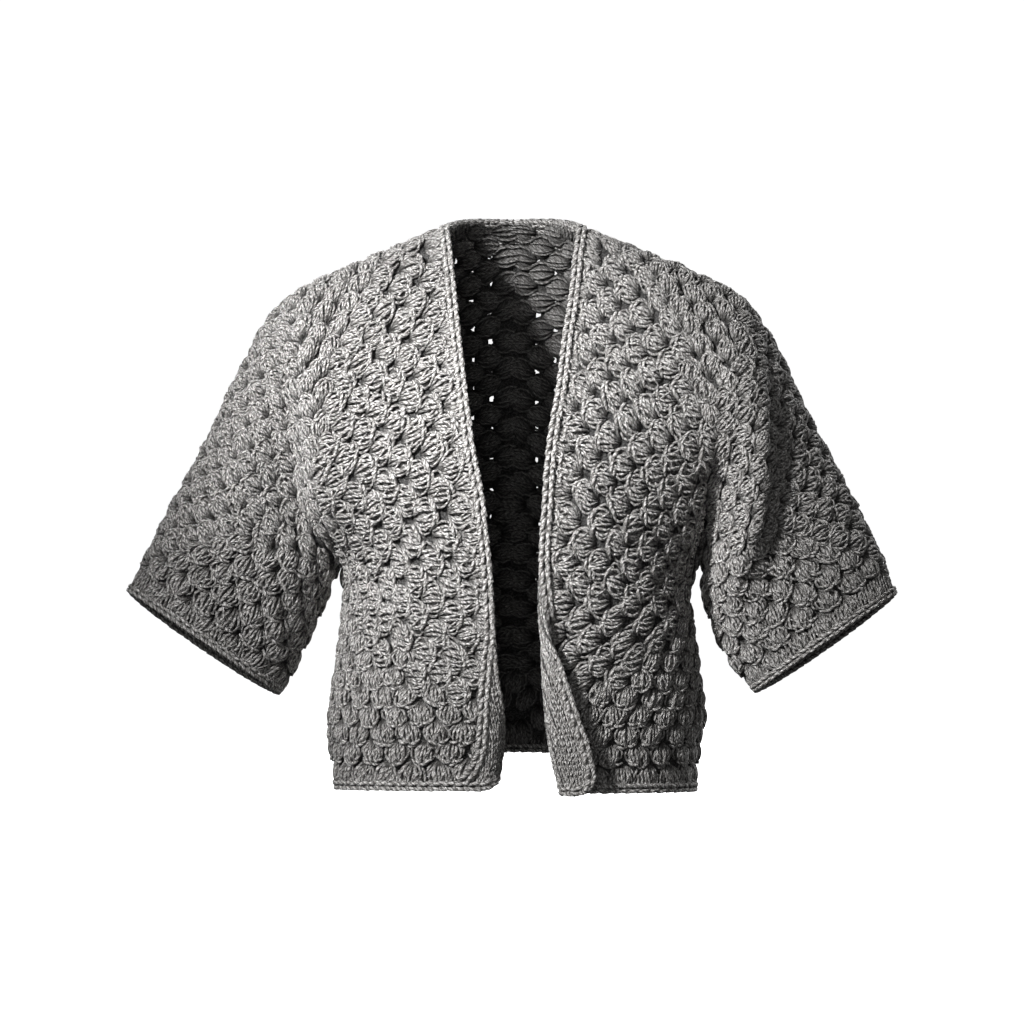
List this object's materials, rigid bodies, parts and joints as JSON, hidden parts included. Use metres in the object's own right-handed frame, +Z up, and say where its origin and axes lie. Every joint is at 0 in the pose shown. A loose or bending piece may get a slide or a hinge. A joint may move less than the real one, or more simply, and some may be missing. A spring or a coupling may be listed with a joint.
{
  "type": "crocheted open-front cardigan",
  "caption": "Open-front crocheted cardigan with elbow-length sleeves, hollow as if worn, with a plain border at the edges.",
  "frame": {"origin": "midway between the two neck points of the shoulder lines, where the wearer's shoulders carry the garment", "axes": "+X to the wearer's left, +Y to the back, +Z up; the open front faces -Y"},
  "size_m": [0.7685, 0.2304, 0.5795],
  "materials": {
    "panel_yarn": "grey melange yarn, crocheted in clusters, matt with a light sheen on the strands",
    "border_yarn": "the same grey melange yarn in plain close rows"
  },
  "bodies": {
    "root": {"back_left": "panel_yarn", "back_right": "panel_yarn", "cuff_band_left": "border_yarn", "cuff_band_right": "border_yarn", "front_band_left": "border_yarn", "front_band_right": "border_yarn", "front_left": "panel_yarn", "front_right": "panel_yarn", "hem_band_left": "border_yarn", "hem_band_right": "border_yarn", "neck_band": "border_yarn", "sleeve_left": "panel_yarn", "sleeve_right": "panel_yarn"}
  },
  "joints": []
}
